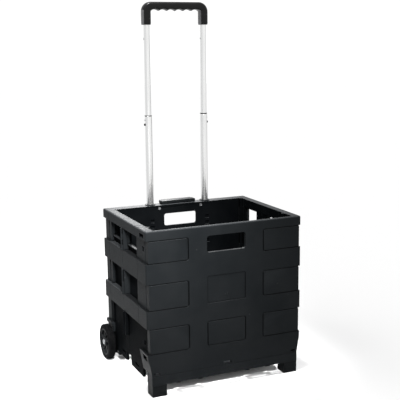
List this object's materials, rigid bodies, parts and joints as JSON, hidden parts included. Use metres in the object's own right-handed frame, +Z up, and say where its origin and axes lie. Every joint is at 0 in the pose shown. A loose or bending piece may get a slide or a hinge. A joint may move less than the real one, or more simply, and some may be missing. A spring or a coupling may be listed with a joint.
{
  "type": "folding crate trolley",
  "caption": "Folding plastic crate on two rear wheels and front feet, with bi-fold sides, a flip-up floor and a telescopic twin-tube handle.",
  "frame": {"origin": "on the ground, under the middle of the bounding box", "axes": "+Z up, +X to the right seen from the front, +Y from the front panel to the handle"},
  "size_m": [0.456, 0.348, 0.948],
  "materials": {
    "crate_black": "fine moulded texture",
    "deep_black": "satin",
    "gloss_black": "gloss",
    "tyre_black": "matt",
    "tube_aluminium": "polished",
    "zinc_steel": "zinc plated"
  },
  "bodies": {
    "back": {"back_panel": "crate_black", "rear_carry_grip": "deep_black", "axle": "zinc_steel", "wheel_bracket_left": "deep_black", "wheel_bracket_right": "deep_black", "axle_cap_left": "zinc_steel", "axle_cap_right": "zinc_steel", "rear_hinge_pin_left": "zinc_steel", "rear_hinge_pin_right": "zinc_steel", "tube_screw_left": "zinc_steel", "tube_screw_right": "zinc_steel", "tube_strap_left": "zinc_steel", "tube_strap_right": "zinc_steel", "outer_tube_left": "tube_aluminium", "outer_tube_right": "tube_aluminium", "rim_bush_left": "deep_black", "rim_bush_right": "deep_black"},
    "left_rear_half": {"side_rear_left": "crate_black", "mid_hinge_pin_top_left": "zinc_steel", "mid_hinge_pin_centre_left": "zinc_steel", "mid_hinge_pin_bottom_left": "zinc_steel"},
    "left_front_half": {"side_front_left": "crate_black"},
    "right_rear_half": {"side_rear_right": "crate_black", "mid_hinge_pin_top_right": "zinc_steel", "mid_hinge_pin_centre_right": "zinc_steel", "mid_hinge_pin_bottom_right": "zinc_steel"},
    "right_front_half": {"side_front_right": "crate_black"},
    "front": {"front_panel": "crate_black", "front_foot_left": "deep_black", "front_foot_right": "deep_black", "front_hinge_pin_left": "zinc_steel", "front_hinge_pin_right": "zinc_steel", "floor_hinge_pin_left": "zinc_steel", "floor_hinge_pin_right": "zinc_steel"},
    "floor": {"floor_panel": "crate_black"},
    "middle_stage": {"middle_tube_left": "tube_aluminium", "middle_tube_right": "tube_aluminium", "stage_collar_left": "deep_black", "stage_collar_right": "deep_black", "stage_rivet_left": "zinc_steel", "stage_rivet_right": "zinc_steel"},
    "upper_stage": {"upper_tube_left": "tube_aluminium", "upper_tube_right": "tube_aluminium", "handle_grip": "gloss_black"},
    "left_button": {"snap_button_left": "gloss_black"},
    "right_button": {"snap_button_right": "gloss_black"},
    "left_wheel": {"wheel_tyre_left": "tyre_black", "wheel_hub_left": "deep_black"},
    "right_wheel": {"wheel_tyre_right": "tyre_black", "wheel_hub_right": "deep_black"}
  },
  "joints": [
    {"name": "side_fold", "type": "hinge", "parent": "back", "child": "left_rear_half", "pos_m": [-0.186, 0.115, 0.21], "axis": [0, 0, 1], "range_deg": [0, 90]},
    {"name": "left_mid_fold", "type": "hinge", "parent": "left_rear_half", "child": "left_front_half", "pos_m": [-0.21, -0.0045, 0.21], "axis": [0, 0, 1], "range_deg": [-180, 0]},
    {"name": "front_panel_fold", "type": "hinge", "parent": "left_front_half", "child": "front", "pos_m": [-0.186, -0.124, 0.21], "axis": [0, 0, 1], "range_deg": [0, 90]},
    {"name": "right_rear_fold", "type": "hinge", "parent": "back", "child": "right_rear_half", "pos_m": [0.186, 0.115, 0.21], "axis": [0, 0, 1], "range_deg": [-90, 0]},
    {"name": "right_mid_fold", "type": "hinge", "parent": "right_rear_half", "child": "right_front_half", "pos_m": [0.21, -0.0045, 0.21], "axis": [0, 0, 1], "range_deg": [0, 180]},
    {"name": "floor_lift", "type": "hinge", "parent": "front", "child": "floor", "pos_m": [0, -0.152, 0.024], "axis": [1, 0, 0], "range_deg": [0, 90]},
    {"name": "handle_lower_slide", "type": "slide", "parent": "back", "child": "middle_stage", "axis": [0, 0, -1], "range_m": [0, 0.21]},
    {"name": "handle_upper_slide", "type": "slide", "parent": "middle_stage", "child": "upper_stage", "axis": [0, 0, -1], "range_m": [0, 0.235]},
    {"name": "left_button_press", "type": "slide", "parent": "middle_stage", "child": "left_button", "axis": [1, 0, 0], "range_m": [0, 0.0011], "stiffness_N_per_m": 1500, "springref_m": -0.001},
    {"name": "right_button_press", "type": "slide", "parent": "middle_stage", "child": "right_button", "axis": [-1, 0, 0], "range_m": [0, 0.0011], "stiffness_N_per_m": 1500, "springref_m": -0.001},
    {"name": "left_wheel_spin", "type": "hinge", "parent": "back", "child": "left_wheel", "pos_m": [-0.2155, 0.1265, 0.0475], "axis": [1, 0, 0], "continuous": true},
    {"name": "right_wheel_spin", "type": "hinge", "parent": "back", "child": "right_wheel", "pos_m": [0.2155, 0.1265, 0.0475], "axis": [1, 0, 0], "continuous": true}
  ],
  "couplings": [
    {"joint": "left_mid_fold", "follows": "side_fold", "ratio": -2},
    {"joint": "front_panel_fold", "follows": "side_fold", "ratio": 1},
    {"joint": "right_rear_fold", "follows": "side_fold", "ratio": -1},
    {"joint": "right_mid_fold", "follows": "side_fold", "ratio": 2}
  ]
}
